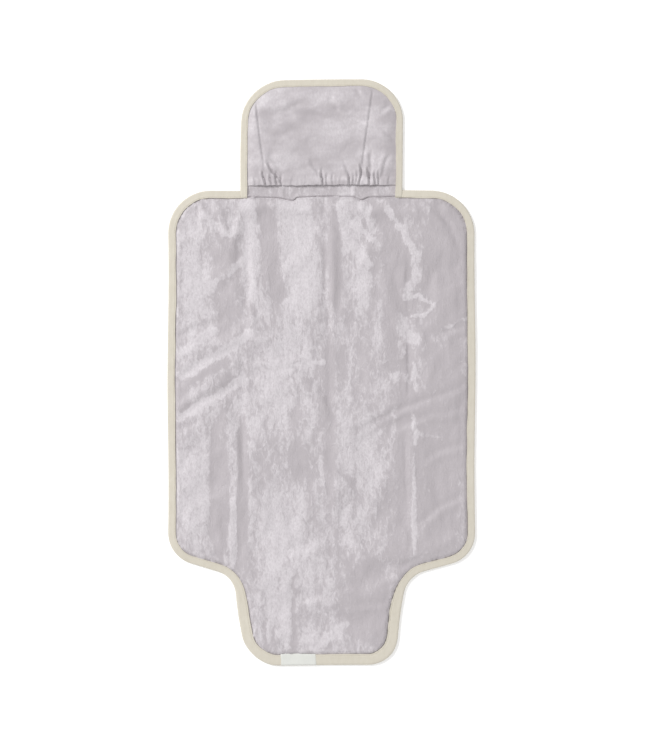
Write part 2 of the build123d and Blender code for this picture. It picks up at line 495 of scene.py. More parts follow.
# Stores a painted sheen on a piece, as the shine attribute that the satin materials read
def paintSheen(piece, shine):
    attribute = piece.data.attributes.new("shine", "FLOAT", "POINT")
    attribute.data.foreach_set("value", np.asarray(shine, np.float32))


# The padded part: one sheet, puffed and creased, then parted at the folds
pad = dict(
    grid=0.0048, rim=0.0026, puff=0.0030, puffRun=0.024, frames=16,
    merge=0.0003, trim=0.0035, inset=0.0038, ridge=0.0016,
    cap=0.0022, creasing=1.7, seamY=headFold - 0.0083,
    cloth=dict(quality=6, mass=0.15, tension_stiffness=12, compression_stiffness=12,
               shear_stiffness=6, bending_stiffness=0.12, shrink_min=-0.012),
)

# Creases pressed in by folding and tucks drawn in by the sewing: ends, depth and width in mm
creases = [
    ((-96, 215), (-99, -262), 0.7, 3.5),
    ((110, 120), (112, -255), 0.3, 3),
    ((8, 210), (11, -300), 0.6, 4),
    ((-186, -73), (-145, -57), 1.1, 2.6),
    ((-186, -74), (-150, -72), 0.9, 2.2),
    ((-186, -60), (-96, -8), 1, 6.5),
    ((-184, -9), (-92, 44), 1.1, 6.5),
    ((-186, 10), (-140, 30), 0.7, 3.5),
    ((-70, 3), (0, 12), 0.5, 3),
    ((-180, 46), (-120, 72), 0.6, 4),
    ((187, 60), (145, 46), 1, 3),
    ((187, -42), (95, -70), 0.5, 3.5),
    ((187, -12), (30, -80), 0.4, 4),
    ((187, -86), (120, -118), 0.7, 4),
    ((187, -150), (118, -196), 0.7, 4),
    ((150, 216), (180, 150), 0.9, 3.5),
    ((118, 219), (170, 170), 0.8, 2.4),
    ((132, 219), (178, 182), 0.7, 2),
    ((112, 220), (124, 212), 1.2, 2),
    ((-142, 214), (-126, 170), 1.3, 3.5),
    ((-128, 216), (-104, 196), 1, 3),
    ((-160, 210), (-148, 160), 0.9, 3),
    ((-112, 212), (-118, 150), 0.7, 3),
    ((2, 214), (30, 160), 1, 3),
    ((45, 208), (64, 184), 0.9, 2.5),
    ((-105, -262), (-60, -310), 0.6, 4),
    ((98, -290), (40, -300), 0.6, 4),
    ((88, -352), (70, -362), 1, 2.5),
    ((-50, -362), (-45, -330), 0.6, 3),
]

# Painted sheen, where the satin catches the light: middle and half sizes in mm, and strength, dark
# ones negative
lights = [
    ((-64.5, 152), (12, 60), -0.25),
    ((17, 150), (8, 72), -0.42),
    ((90, 110), (14, 85), -0.25),
    ((160, 140), (30, 80), -0.46),
    ((-131, -150), (12, 88), -0.80),
    ((-100.5, -150), (7, 92), -0.85),
    ((10, -60), (9, 125), -0.34),
    ((104, -110), (8, 150), -0.34),
    ((-31, -116), (9, 30), -0.42),
    ((60, -290), (36, 55), -0.34),
    ((150, -130), (40, 120), -0.20),
    ((45, -10), (30, 50), -0.16),
    ((-120, 100), (18, 70), -0.22),
    ((-165, 127), (22, 80), 0.24),
    ((-91, 150), (9, 66), 0.26),
    ((-24, 140), (24, 75), 0.30),
    ((46, 140), (16, 50), 0.12),
    ((-50, -10), (45, 70), 0.16),
    ((-162, -155), (22, 85), 0.26),
    ((-112.5, -200), (5, 45), 0.80),
    ((-128, -88), (3.5, 18), 0.50),
    ((-50, -240), (42, 100), 0.24),
    ((118, -175), (3.5, 70), 0.50),
    ((62, -112), (26, 40), 0.18),
    ((-10, -345), (20, 22), 0.16),
]


# Drawn-out strokes of the same painted sheen: the line they follow and half width in mm, and
# strength
sheenStrokes = [
    ([(24, 213), (28, 185), (46, 156), (59, 137)], 5, 0.55),
    ([(56, 125), (55, 90)], 8.5, 0.30),
    ([(36, 194), (51, 180), (67, 168)], 2.4, 0.60),
    ([(57, 213), (65, 181)], 5.5, 0.40),
    ([(84, 207), (103, 181), (113, 162), (121, 146)], 4.5, 0.62),
    ([(121, 146), (122, 121), (108, 98)], 6, 0.50),
    ([(108, 96), (126, 97), (143, 84), (132, 73), (116, 72)], 2.6, 0.62),
    ([(100, 70), (103, 54), (119, 41)], 7, 0.46),
    ([(101, 34), (104, 22)], 4.5, 0.40),
    ([(96, -6), (108, -8)], 7, 0.36),
    ([(118, 9), (121, -23)], 3.5, 0.48),
    ([(160, 57), (184, 68)], 2, 0.50),
    ([(72, 207), (102, 148), (94, 90)], 6, -0.45),
    ([(-91, 213), (-85, 130)], 7, 0.34),
    ([(-47, 213), (-38, 162), (-21, 98)], 12, 0.34),
    ([(-75, 206), (-64, 143), (-54, 98)], 8.5, -0.45),
    ([(-150, 200), (-123, 175), (-98, 182)], 4, 0.45),
    ([(-168, 86), (-130, 118), (-98, 143)], 4.5, 0.40),
    ([(-174, 28), (-136, 54)], 4.5, 0.42),
    ([(-180, -4), (-130, 22), (-93, 48)], 5.5, 0.50),
    ([(-176, -16), (-120, 12)], 4.5, -0.35),
    ([(-178, -56), (-128, -28), (-100, -10)], 4.8, 0.45),
    ([(-62, 4), (-30, 8), (4, 12)], 2.2, 0.50),
    ([(118, -60), (121, -90)], 3.5, 0.45),
    ([(120, -78), (150, -84)], 3, 0.40),
    ([(-64, -262), (-66, -345)], 2.6, 0.45),
    ([(-44, -262), (-44, -352)], 4, 0.40),
    ([(-36, -262), (-34, -352)], 2.6, -0.45),
    ([(-10, -352), (18, -332), (30, -322)], 5, 0.40),
]


def beside(x, y, line, width):
    # how close each place is to a stroke's line, from 1 on it to 0 clear of it
    least = np.full(len(x), 9.0)
    line = np.array(line) / 1000
    for (ax, ay), (bx, by) in zip(line, line[1:]):
        lineX, lineY = bx - ax, by - ay
        share = np.clip(((x - ax) * lineX + (y - ay) * lineY) / (lineX ** 2 + lineY ** 2), 0, 1)
        least = np.minimum(least, np.hypot(x - ax - share * lineX, y - ay - share * lineY))
    return ease(1.5 - least * 1000 / width)


def near(x, y, at, half):
    dx = (x * 1000 - at[0]) / half[0]
    dy = (y * 1000 - at[1]) / half[1]
    return ease(1.35 - np.sqrt(dx * dx + np.abs(dy) ** 3))


def shineOn(x, y):
    # painted sheen, lighter on the left where the key light falls and darker towards the right
    shine = 0.52 - 0.17 * ease((x - 0.03) / 0.12)
    for at, half, strength in lights:
        shine = shine + strength * near(x, y, at, half)
    # the strokes' edges are torn by a small noise
    bendX = 0.0034 * ripple(x, y, 0.009, 0.012, 31.0, 3)
    bendY = 0.0034 * ripple(x, y, 0.012, 0.009, 37.0, 3)
    for line, width, strength in sheenStrokes:
        shine = shine + strength * beside(x + bendX, y + bendY, line, width)
    return np.clip(shine, -0.25, 1.2)


def creaseDepth(x, y, some):
    # each crease is a narrow valley with a soft ridge beside it, dying out at its ends
    total = np.zeros(len(x))
    for start, end, depth, width in some:
        start, end = np.array(start) / 1000, np.array(end) / 1000
        line = end - start
        length = np.linalg.norm(line)
        share = ((x - start[0]) * line[0] + (y - start[1]) * line[1]) / length ** 2
        off = ((y - start[1]) * line[0] - (x - start[0]) * line[1]) / length
        off = off + 0.0022 * min(1, length / 0.08) * np.sin(share * 7 + start[0] * 90)
        fade = ease(share * 5 + 0.6) * ease((1 - share) * 3)
        spread = off * 1000 / width
        ridge = 0.7 * np.exp(-(spread - 1.6) ** 2 / 1.4)
        total += depth / 1000 * fade * (ridge - np.exp(-spread ** 2))
    return total


def seamLine(x):
    # the seam across the pad's head end wanders, with two tucks where the flap is caught in
    tuckWidth = np.where(x < -0.036, 0.013, 0.0035)
    return (pad["seamY"] + 0.0006 * np.sin(x * 60 + 1.2)
            - 0.0038 * hump(x + 0.036, tuckWidth)
            - 0.0036 * hump(x - 0.051, 0.006))


def padHeight(x, y):
    places = np.column_stack([x, y])
    away, _ = nearest(places, padPath)
    within = away - tapeWidth(y)
    # across the flap the pad stops at its seam, not at a tape
    behindFlap = ease((0.101 - np.abs(x)) / 0.006)
    beforeSeam = seamLine(x) - y
    within = within * (1 - behindFlap) + np.minimum(within + 0.0027, beforeSeam) * behindFlap
    rise = np.clip(within / pad["puffRun"], 0, 1)
    height = pad["rim"] + pad["puff"] * (1 - (1 - rise) ** 2.2)
    height += 0.0008 * ease(within / 0.004) * (1 - ease(within / 0.03))
    drawn = np.clip(within / 0.012, 0, 1)
    height += drawn * (0.00055 * ripple(x, y, 0.011, 0.038, 3.1)
                       + 0.00050 * ripple(x, y, 0.036, 0.050, 8.4))
    # little gathers run in from the tape
    edgeWave = ripple(x, y, 0.0085, 0.0085, 5.7, 1)
    height += 0.00085 * edgeWave * ease(within / 0.002) * (1 - ease(within / 0.020))
    height += pad["creasing"] * creaseDepth(x, y, creases) * np.clip(within / 0.003, 0, 1)
    below = ease((0.0007 - beforeSeam) / 0.0014) * behindFlap
    return height * (1 - below) + 0.0012 * below


def makeSheet(name, low, high, grid):
    clearSelection()
    width, length = high[0] - low[0], high[1] - low[1]
    bpy.ops.mesh.primitive_grid_add(
        x_subdivisions=round(width / grid), y_subdivisions=round(length / grid), size=1,
        location=((low[0] + high[0]) / 2, (low[1] + high[1]) / 2, 0))
    made = bpy.context.object
    made.name = made.data.name = name
    made.scale = (width, length, 1)
    freeze(made)
    return made


def cutAt(piece, planes):
    for place, normal in planes:
        pick(piece)
        editMesh()
        selectAll()
        bpy.ops.mesh.bisect(plane_co=place, plane_no=normal)
        leaveMesh()


def makePadSheet():
    sheet = makeSheet("pad_sheet", (-halfWidth, footEnd), (halfWidth, headFold), pad["grid"])
    # cut lines where the folds part the pad
    for plane in foldPlanes:
        cutAt(sheet, [plane])
        editMesh()
        selectAll()
        bpy.ops.mesh.remove_doubles(threshold=pad["merge"])
        leaveMesh()
    # trimmed to the outline, just inside the tape
    places = points(sheet)
    away, spot = nearest(places, padPath)
    removePoints(sheet, ~inside(places, padPath) | (away < pad["trim"]))
    rim = edgePoints(sheet)
    places = points(sheet)
    away, spot = nearest(places[rim], padPath)
    places[rim, :2] = spot + (places[rim, :2] - spot) / away[:, None] * pad["inset"]
    movePoints(sheet, places)
    middle = np.array([face.center[:2] for face in sheet.data.polygons])
    side = np.zeros(len(middle), np.int32)
    side[middle[:, 0] < -fold["sideStart"]] = 1
    side[middle[:, 0] > fold["sideStart"]] = 2
    side[middle[:, 1] < fold["footStart"]] = 3
    numberPanels(sheet, side)
    return sheet


def crumple(sheet):
    # the cloth is cut a little larger than the wadding, so it buckles inside its edge
    held = sheet.vertex_groups.new(name="held")
    places = points(sheet)
    away, _ = nearest(places, padPath)
    pinned = away < tapeWidth(places[:, 1]) + 0.0015
    held.add([int(i) for i in np.nonzero(pinned)[0]], 1.0, "REPLACE")
    start = places.copy()
    pick(sheet)
    bpy.ops.object.modifier_add(type="CLOTH")
    cloth = sheet.modifiers["Cloth"]
    cloth.settings.vertex_group_mass = "held"
    for setting, value in pad["cloth"].items():
        setattr(cloth.settings, setting, value)
    cloth.settings.effector_weights.gravity = 0
    cloth.collision_settings.use_collision = False
    for step in range(1, pad["frames"] + 1):
        bpy.context.scene.frame_set(step)
    bpy.ops.object.modifier_apply(modifier="Cloth")
    bpy.context.scene.frame_set(1)
    moved = points(sheet) - start
    print("cloth moved up to", np.abs(moved).max())
    far = np.linalg.norm(moved, axis=1, keepdims=True)
    moved *= np.minimum(1, pad["cap"] / np.maximum(far, 1e-9))
    movePoints(sheet, start + moved)
    sheet.vertex_groups.clear()


# Each fold's two bodies and where it bends
bends = dict(
    left=("centre", "left_side", (-fold["sideStart"], 0, 0), (-fold["sideEnd"], 0, 0)),
    right=("centre", "right_side", (fold["sideStart"], 0, 0), (fold["sideEnd"], 0, 0)),
    foot=("centre", "foot_flap", (0, fold["footStart"], 0), (0, fold["footEnd"], 0)),
    flap=("centre", "pocket_flap", (0, fold["headStart"], 0), (0, fold["headEnd"], 0)),
)


def ridgesAcross(piece, which, pitch):
    # cuts across a fold
    _, _, start, end = bends[which]
    start, end = Vector(start), Vector(end)
    along = end - start
    count = round(along.length / pitch)
    cutAt(piece, [(start + along * i / count, along.normalized()) for i in range(1, count)])


def subdivide(piece):
    pick(piece)
    bpy.ops.object.modifier_add(type="SUBSURF")
    piece.modifiers[-1].levels = 1
    applyLast(piece)


def closeBelow(sheet, heightBelow):
    # a second layer under the sheet, joined to it all round the edge
    pick(sheet)
    editMesh()
    bpy.ops.mesh.select_mode(type="VERT")
    selectAll()
    extrude((0, 0, -0.002))
    leaveMesh()
    chosen = np.zeros(len(sheet.data.vertices), bool)
    sheet.data.vertices.foreach_get("select", chosen)
    places = points(sheet)
    places[chosen, 2] = heightBelow(places[chosen, 0], places[chosen, 1])
    movePoints(sheet, places)
    faceOut(sheet)


def faceOut(piece):
    pick(piece)
    editMesh()
    selectAll()
    bpy.ops.mesh.normals_make_consistent(inside=False)
    selectNone()
    leaveMesh()


def numberPanels(piece, kinds):
    panel = piece.data.attributes.new("panel", "INT", "FACE")
    panel.data.foreach_set("value", np.asarray(kinds, np.int32))


def rememberNormals(piece):
    # so that the parts of a sheet cut at a fold still shade as one
    smooth(piece)
    normals = np.empty(len(piece.data.vertices) * 3)
    piece.data.vertex_normals.foreach_get("vector", normals)
    store = piece.data.attributes.new("wholeNormal", "FLOAT_VECTOR", "POINT")
    store.data.foreach_set("vector", normals)


def restoreNormals(piece):
    normals = np.empty(len(piece.data.vertices) * 3)
    piece.data.attributes["wholeNormal"].data.foreach_get("vector", normals)
    piece.data.normals_split_custom_set_from_vertices(normals.reshape(-1, 3).tolist())
    piece.data.attributes.remove(piece.data.attributes["wholeNormal"])


def partAt(piece, names):
    # one new piece for each name, by the panel number that its faces carry
    kinds = np.zeros(len(piece.data.polygons), np.int32)
    piece.data.attributes["panel"].data.foreach_get("value", kinds)
    made = {}
    for index, name in enumerate(names):
        copy = piece.copy()
        copy.data = piece.data.copy()
        copy.name = copy.data.name = name
        link(copy)
        pick(copy)
        editMesh()
        bpy.ops.mesh.select_mode(type="FACE")
        selectNone()
        leaveMesh()
        copy.data.polygons.foreach_set("select", kinds != index)
        editMesh()
        bpy.ops.mesh.delete(type="FACE")
        bpy.ops.mesh.select_mode(type="VERT")
        selectAll()
        bpy.ops.mesh.fill_holes(sides=0)
        selectNone()
        leaveMesh()
        restoreNormals(copy)
        made[name] = copy
    bpy.data.objects.remove(piece)
    return made


sheet = makePadSheet()
places = points(sheet)
places[:, 2] = padHeight(places[:, 0], places[:, 1])
movePoints(sheet, places)
print("pad sheet cut", len(places))
crumple(sheet)
print("pad sheet crumpled")
subdivide(sheet)


def tuckAtTape(sheet):
    # rows of points are drawn onto the sewn edge, where the satin dips before it swells
    places = points(sheet)
    away, spot = nearest(places, padPath)
    x, y = places[:, 0], places[:, 1]
    behindFlap = (np.abs(x) < flapHalf - 0.004) & (y > 0.19)
    within = np.where(behindFlap, seamLine(x) - y, away - tapeWidth(y))
    inward = (places[:, :2] - spot) / away[:, None]
    inward[behindFlap] = (0, -1)
    free = away > 0.006
    for target, reach in ((0.0002, 0.0013), (0.0016, 0.0012)):
        row = (np.abs(within - target) < reach) & free
        free &= ~row
        places[row, :2] += inward[row] * (target - within[row])[:, None]
        within[row] = target
    low = np.where(behindFlap, 0.0014, 0.0021)
    dip = hump(within - 0.0002, 0.0006)
    swell = hump(within - 0.0030, 0.0030)
    places[:, 2] += 0.0010 * swell - dip * np.clip(places[:, 2] + 0.0006 - low, 0, 0.004)
    places[:, 2] = np.where(within < 0, np.minimum(places[:, 2], 0.0024), places[:, 2])
    movePoints(sheet, places)


def addFineCreases(sheet):
    places = points(sheet)
    x, y = places[:, 0], places[:, 1]
    away, _ = nearest(places, padPath)
    free = ease((away - 0.012) / 0.006) * ease((seamLine(x) - y) / 0.005)
    places[:, 2] += free * 0.00022 * ripple(x, y, 0.006, 0.016, 1.9, 2)
    movePoints(sheet, places)


def underPad(x, y):
    # drawn up a little at the tape
    away, _ = nearest(np.column_stack([x, y]), padPath)
    within = away - tapeWidth(y)
    drawnUp = 0.0009 * (1 - ease(within / 0.009 + 0.1))
    loose = ease(within / 0.01)
    pressed = np.clip(0.8 * creaseDepth(x, y, creases), -0.0003, 0.0012)
    wrinkled = loose * (0.0007 * ripple(x, y, 0.012, 0.030, 14.0, 3) + pressed)
    slack = 0.00035 * ripple(x, y, 0.020, 0.045, 6.6)
    sagging = 0.0006 * np.clip(ripple(x, y, 0.06, 0.09, 2.2), -0.5, 1)
    return drawnUp + wrinkled + (0.0007 + slack + sagging)


addFineCreases(sheet)
tuckAtTape(sheet)
for which in ("left", "right", "foot"):
    ridgesAcross(sheet, which, pad["ridge"])
closeBelow(sheet, underPad)
movePoints(sheet, settle(points(sheet)))
twoSided(sheet, satin, backing)
# painted sheen over the pad's satin and backing
paintSheen(sheet, shineOn(points(sheet)[:, 0], points(sheet)[:, 1]))
rememberNormals(sheet)
panels = partAt(sheet, ["pad_middle", "pad_left", "pad_right", "pad_foot"])
print("pad parted at its folds")


def bendAcross(piece):
    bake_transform(piece)


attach(panels["pad_middle"], "centre")
for side in ("left", "right", "foot"):
    bendAcross(panels["pad_" + side])
for side, name in (("centre", "middle"), ("left", "left"), ("right", "right"), ("foot", "foot")):
    piece = panels["pad_" + name]
    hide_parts(side + "_front_cover", side + "_wadding", side + "_back_cover")
print("pad panels placed")

# The folded tape that binds every edge: depth in from the edge and height, in millimetres
tapeProfile = [
    (0.0, 1.75), (0.22, 2.7), (0.9, 3.25), (2.4, 3.42), (4.8, 3.5), (7.0, 3.62), (8.3, 3.86),
    (8.75, 3.86), (9.3, 3.44), (9.85, 3.90), (10.5, 3.98), (11.0, 3.6), (11.02, 2.9), (10.8, 1.6),
    (11.0, 0.9), (10.4, 0.12), (8.0, 0.0), (4.8, 0.0), (1.6, 0.02), (0.5, 0.45), (0.1, 1.0),
]
stitchDepth = 0.0093 / 0.011  # the stitching's place across the tape, as a share of its width


def layTape(name, corners, side, step):
    # the profile is drawn along each run and spun round each corner
    parts = runsAndTurns(corners)
    start, end = parts[0][1:]
    along = (end - start).normalized()
    inward = Vector((-along.y, along.x)) * side
    clearSelection()
    bpy.ops.mesh.primitive_circle_add(vertices=len(tapeProfile), radius=0.01)
    piece = bpy.context.object
    piece.name = piece.data.name = name
    for vertex, (depth, height) in zip(piece.data.vertices, tapeProfile):
        spot = start + inward * depth / 1000
        vertex.co = (spot.x, spot.y, height / 1000)
    editMesh()
    bpy.ops.mesh.select_mode(type="VERT")
    selectAll()
    for part in parts:
        if part[0] == "run":
            stretch = part[2] - part[1]
            count = max(1, round(stretch.length / step))
            for i in range(count):
                extrude((stretch.x / count, stretch.y / count, 0))
        else:
            centre, radius, turn, _ = part[1:]
            bpy.ops.mesh.spin(
                steps=max(3, round(radius * abs(turn) / step)), angle=-turn,
                center=(centre.x, centre.y, 0), axis=(0, 0, 1))
    selectAll()
    bpy.ops.mesh.remove_doubles(threshold=0.00002)
    bpy.ops.mesh.fill_holes(sides=0)
    leaveMesh()
    faceOut(piece)
    return piece


def tapeWaver(x, y):
    return tape["wobble"] * ripple(x, y, 0.022, 0.022, 4.4)


def tapePucker(x, y):
    return 0.00024 * ripple(x, y, 0.0075, 0.0075, 9.2, 1)


def tapeSlack(x, y):
    return ripple(x, y, 0.034, 0.034, 12.6, 2)


def wearTape(places, path, width):
    # widths vary along the tape, its inner edge wavers and it puckers between stitches
    away, spot = nearest(places, path)
    inward = places[:, :2] - spot
    share = np.minimum(away / tape["cut"], 1.02)
    x, y = spot[:, 0], spot[:, 1]
    grow = (width(y) + tapeWaver(x, y) * share) / tape["cut"]
    places[:, :2] = spot + inward * grow[:, None]
    top = ease((places[:, 2] - 0.0016) / 0.0014)
    slack = tapeSlack(x, y)
    places[:, 2] += top * (tapePucker(x, y) * share + tape["slack"] * slack)
    places[:, :2] += inward * (0.03 * slack * (1 - share))[:, None]
    return places


edgeWithTape = [(flapHalf - 0.0025, headFold, 0)] + rightEdge[1:]
mainTape = layTape("main_tape", edgeWithTape + mirrored(edgeWithTape)[1:], -1, tape["step"])
cutAt(mainTape, foldPlanes)
for which in ("left", "right", "foot"):
    ridgesAcross(mainTape, which, tape["ridge"])
middles = np.array([face.center for face in mainTape.data.polygons])
kinds = np.where(middles[:, 0] < 0, 1, 2)
between = np.abs(middles[:, 0]) < fold["sideStart"]
kinds[between] = np.where(middles[between, 1] > 0, 4, 0)
kinds[middles[:, 1] < fold["footStart"]] = 3
numberPanels(mainTape, kinds)
places = wearTape(points(mainTape), padPath, tapeWidth)
movePoints(mainTape, settle(places))
print("main tape laid", len(places))

flapTape = layTape("binding_flap", flapEdge, 1, tape["step"] * 0.8)
ridgesAcross(flapTape, "flap", tape["ridge"])


def flapTapeWidth(y):
    return tape["head"] + 0.0003 * np.sin(y * 90)


def raiseAtCorner(places):
    # the flap's tape ends lie over the main tape
    places[:, 2] += 0.0009 * ease((headFold + 0.006 - places[:, 1]) / 0.008)
    return places


places = wearTape(points(flapTape), flapPath, flapTapeWidth)
movePoints(flapTape, settle(raiseAtCorner(places)))
for piece in (mainTape, flapTape):
    piece.data.materials.append(cotton)
    rememberNormals(piece)
restoreNormals(flapTape)
tapes = partAt(mainTape, [
    "binding_neck", "binding_left", "binding_right", "binding_foot", "binding_corners",
])
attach(tapes["binding_neck"], "centre")
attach(tapes["binding_corners"], "centre")
for side in ("left", "right", "foot"):
    bendAcross(tapes["binding_" + side])
    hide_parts(side + "_binding")
bendAcross(flapTape)
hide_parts("centre_foot_corner_bindings")
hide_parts("centre_head_corner_bindings")
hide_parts("flap_binding")
print("tapes parted and placed")

# Rows of stitches, each a short sunk thread
stitch = dict(pitch=0.0031, length=0.0021, radius=0.00021, height=0.00358)


def modelStitch():
    clearSelection()
    bpy.ops.mesh.primitive_cylinder_add(
        vertices=6, radius=stitch["radius"], depth=stitch["length"], rotation=(0, math.pi / 2, 0))
    one = bpy.context.object
    freeze(one)
    editMesh()
    bpy.ops.mesh.select_mode(type="FACE")
    selectNone()
    leaveMesh()
    for face in one.data.polygons:
        face.select = abs(face.normal.x) > 0.9
    editMesh()
    bpy.ops.mesh.inset(thickness=stitch["radius"] * 0.35)
    leaveMesh()
    places = points(one)
    outer = np.abs(places[:, 0]) > stitch["length"] * 0.49
    rim = outer & (np.hypot(places[:, 1], places[:, 2]) > stitch["radius"] * 0.8)
    places[rim, 0] *= 0.72
    places[outer & ~rim, 2] -= stitch["radius"] * 0.9
    movePoints(one, places)
    smooth(one)
    one.data.materials.append(threadCloth)
    return one


def sewRow(one, name, spots):
    # spots are (x, y, z, heading)
    copies = []
    for x, y, z, heading in spots:
        copy = one.copy()
        copy.data = one.data.copy()
        copy.location = (x, y, z)
        copy.rotation_euler = (0, 0, heading)
        link(copy)
        copies.append(copy)
    clearSelection()
    for copy in copies:
        copy.select_set(True)
    bpy.context.view_layer.objects.active = copies[0]
    bpy.ops.object.join()
    row = bpy.context.object
    row.name = row.data.name = name
    freeze(row)
    return row


def rowAlong(path, width, raised=None):
    # places for stitches, at an even pitch along the tape's inner edge
    closed = np.linalg.norm(path[0] - path[-1]) < 0.005
    onward = path[:1] if closed else path[-1:] * 2 - path[-2:-1]
    ahead = np.vstack([path[1:], onward])
    line = ahead - path
    length = np.linalg.norm(line, axis=1)
    along = line / np.maximum(length, 1e-9)[:, None]
    for i in range(1, len(along)):
        if length[i] < 1e-6:
            along[i] = along[i - 1]
    inward = np.column_stack([-along[:, 1], along[:, 0]])
    probe = path + inward * 0.004
    if inside(probe[len(probe) // 5][None], padPath if raised is None else flapPath)[0] == 0:
        inward = -inward
    x, y = path[:, 0], path[:, 1]
    depth = (width(y) + tapeWaver(x, y)) * stitchDepth
    row = path + inward * depth[:, None]
    height = stitch["height"] + tapePucker(x, y) * stitchDepth + tape["slack"] * tapeSlack(x, y)
    full = np.column_stack([row, height])
    if raised is not None:
        full = raised(full)
    full = settle(full)
    spots, walked = [], stitch["pitch"]
    for i in range(len(full) - 1):
        step = full[i + 1, :2] - full[i, :2]
        walked += np.linalg.norm(step)
        if walked >= stitch["pitch"]:
            walked -= stitch["pitch"]
            spots.append((*full[i], math.atan2(step[1], step[0]), path[i][0]))
    return spots


oneStitch = modelStitch()
mainRow = rowAlong(padPath, tapeWidth)
rows = dict(centre=[], left=[], right=[], foot=[])
for x, y, z, heading, atX in mainRow:
    if y > 0.2 and abs(x) < flapHalf - 0.004:
        continue  # the flap is sewn in here, with no tape
    side = "centre"
    if y < fold["footStart"]:
        side = "foot"
    elif abs(atX) > fold["sideStart"]:
        side = "left" if x < 0 else "right"
    rows[side].append((x, y, z, heading))
for side, spots in rows.items():
    row = sewRow(oneStitch, "stitching_" + side, spots)
    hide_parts(side + "_stitching")
    if side == "centre":
        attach(row, "centre")
    else:
        bendAcross(row)
flapSpots = rowAlong(flapPath, flapTapeWidth, raiseAtCorner)
flapRow = sewRow(oneStitch, "stitching_flap", [spot[:4] for spot in flapSpots])
bendAcross(flapRow)
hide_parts("flap_stitching")
bpy.data.objects.remove(oneStitch)
print("stitched")

# The flap's own thin body, seen only in the strip between the pad's seam and the pocket's mouth
flap = dict(grid=0.0016, inset=0.004, top=0.0022, below=0.0005, start=headFold - 0.0105)


def trimTo(made, path, inset):
    # keeps what lies inside the path, and draws the cut edge onto a line just within it
    places = points(made)
    away, _ = nearest(places, path)
    closed = np.vstack([path, path[:1]])
    removePoints(made, ~inside(places, closed) | (away < inset * 0.9))
    places = points(made)
    rim = np.array(edgePoints(made))
    away, spot = nearest(places[rim], path)
    close = away < inset * 2.2
    onto = rim[close]
    share = (inset / away[close])[:, None]
    places[onto, :2] = spot[close] + (places[onto, :2] - spot[close]) * share
    movePoints(made, places)


def stripHeight(x, y):
    folds = (0.0011 * hump(x + 0.050, 0.0035) + 0.0009 * hump(x - 0.041, 0.003)
             + 0.0008 * hump(x - 0.072, 0.004) + 0.0006 * hump(x + 0.012, 0.006))
    # its edge stands over the pad's at the seam, most at the two tucks
    past = y - seamLine(x)
    tucks = hump(x + 0.040, 0.009) + hump(x - 0.051, 0.006)
    lip = (0.0014 + 0.0009 * tucks) * hump(past - 0.0010, 0.0024)
    top = (flap["top"] + folds * ease((mouthY + 0.004 - y) / 0.006) + lip
           + 0.00025 * ripple(x, y, 0.012, 0.010, 7.7))
    # and it lies lower where the pocket's front turns on the head's tape
    top = top - 0.0005 * ease((y - 0.3615) / 0.002)
    gone = ease((0.0005 - past) / 0.0011)
    return top * (1 - gone) + 0.0012 * gone


flapCorner = (flapHalf - 0.001, headEnd - 0.002)
flapBody = makeSheet("flap_body", (-flapCorner[0], flap["start"]), flapCorner, flap["grid"])
trimTo(flapBody, flapPath, flap["inset"])
places = points(flapBody)
x, y = places[:, 0], places[:, 1]
places[:, 1] += (seamLine(x) - pad["seamY"]) * ease(1.2 - np.abs(y - pad["seamY"]) / 0.009)
places[:, 2] = stripHeight(places[:, 0], places[:, 1])
movePoints(flapBody, places)


def underFlap(x, y):
    away, _ = nearest(np.column_stack([x, y]), flapPath)
    drawnUp = 0.0007 * (1 - ease((away - tape["head"]) / 0.008 + 0.1))
    return flap["below"] + drawnUp + 0.0003 * ripple(x, y, 0.03, 0.04, 3.3)


closeBelow(flapBody, underFlap)
movePoints(flapBody, settle(points(flapBody)))
twoSided(flapBody, satin, backing)
places = points(flapBody)
# painted sheen, in soft patches over the flap's strip
paintSheen(flapBody, 0.42 + 0.2 * ripple(places[:, 0], places[:, 1], 0.03, 0.03, 2.0))
smooth(flapBody)
bendAcross(flapBody)
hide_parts("flap_back_cover", "flap_interlining", "flap_lining")
print("flap made")

# The pocket: sewn in round three sides, gathered on elastic along its mouth
pocket = dict(
    grid=0.00125, inset=0.0080, edge=0.0030, dome=0.0036, run=0.021, hem=0.0105, thickness=0.00045,
    cutMiddle=0.098, cutSide=0.058, cutLength=0.152, gather=1.25, gatherRun=0.015,
)
# gathers drawn in by the elastic: place along the mouth, length, lean and depth in mm
gathers = [
    (-84, 8, -1, 0.6), (-70.9, 13, -4, 2), (-63.3, 11, -2, 1.3),
    (-56.9, 12, -1, 1.8), (-50.8, 10, -1, 1.5), (-38, 8, 1, 0.4),
    (-20, 9, 0, 0.4), (1.2, 14, -1, 1.8), (6, 10, 1, 1.2),
    (14.7, 10, -1, 0.9), (24, 7, 0, 0.4), (36.4, 11, -3, 1.4),
    (40.8, 10, -1, 1.4), (44.2, 12, 1, 1.2), (48.2, 18, 2, 1.8),
    (60.7, 15, -2, 2), (67.6, 11, 0, 1.6), (71.4, 13, 2, 1.4),
    (85, 8, 1, 0.7),
]
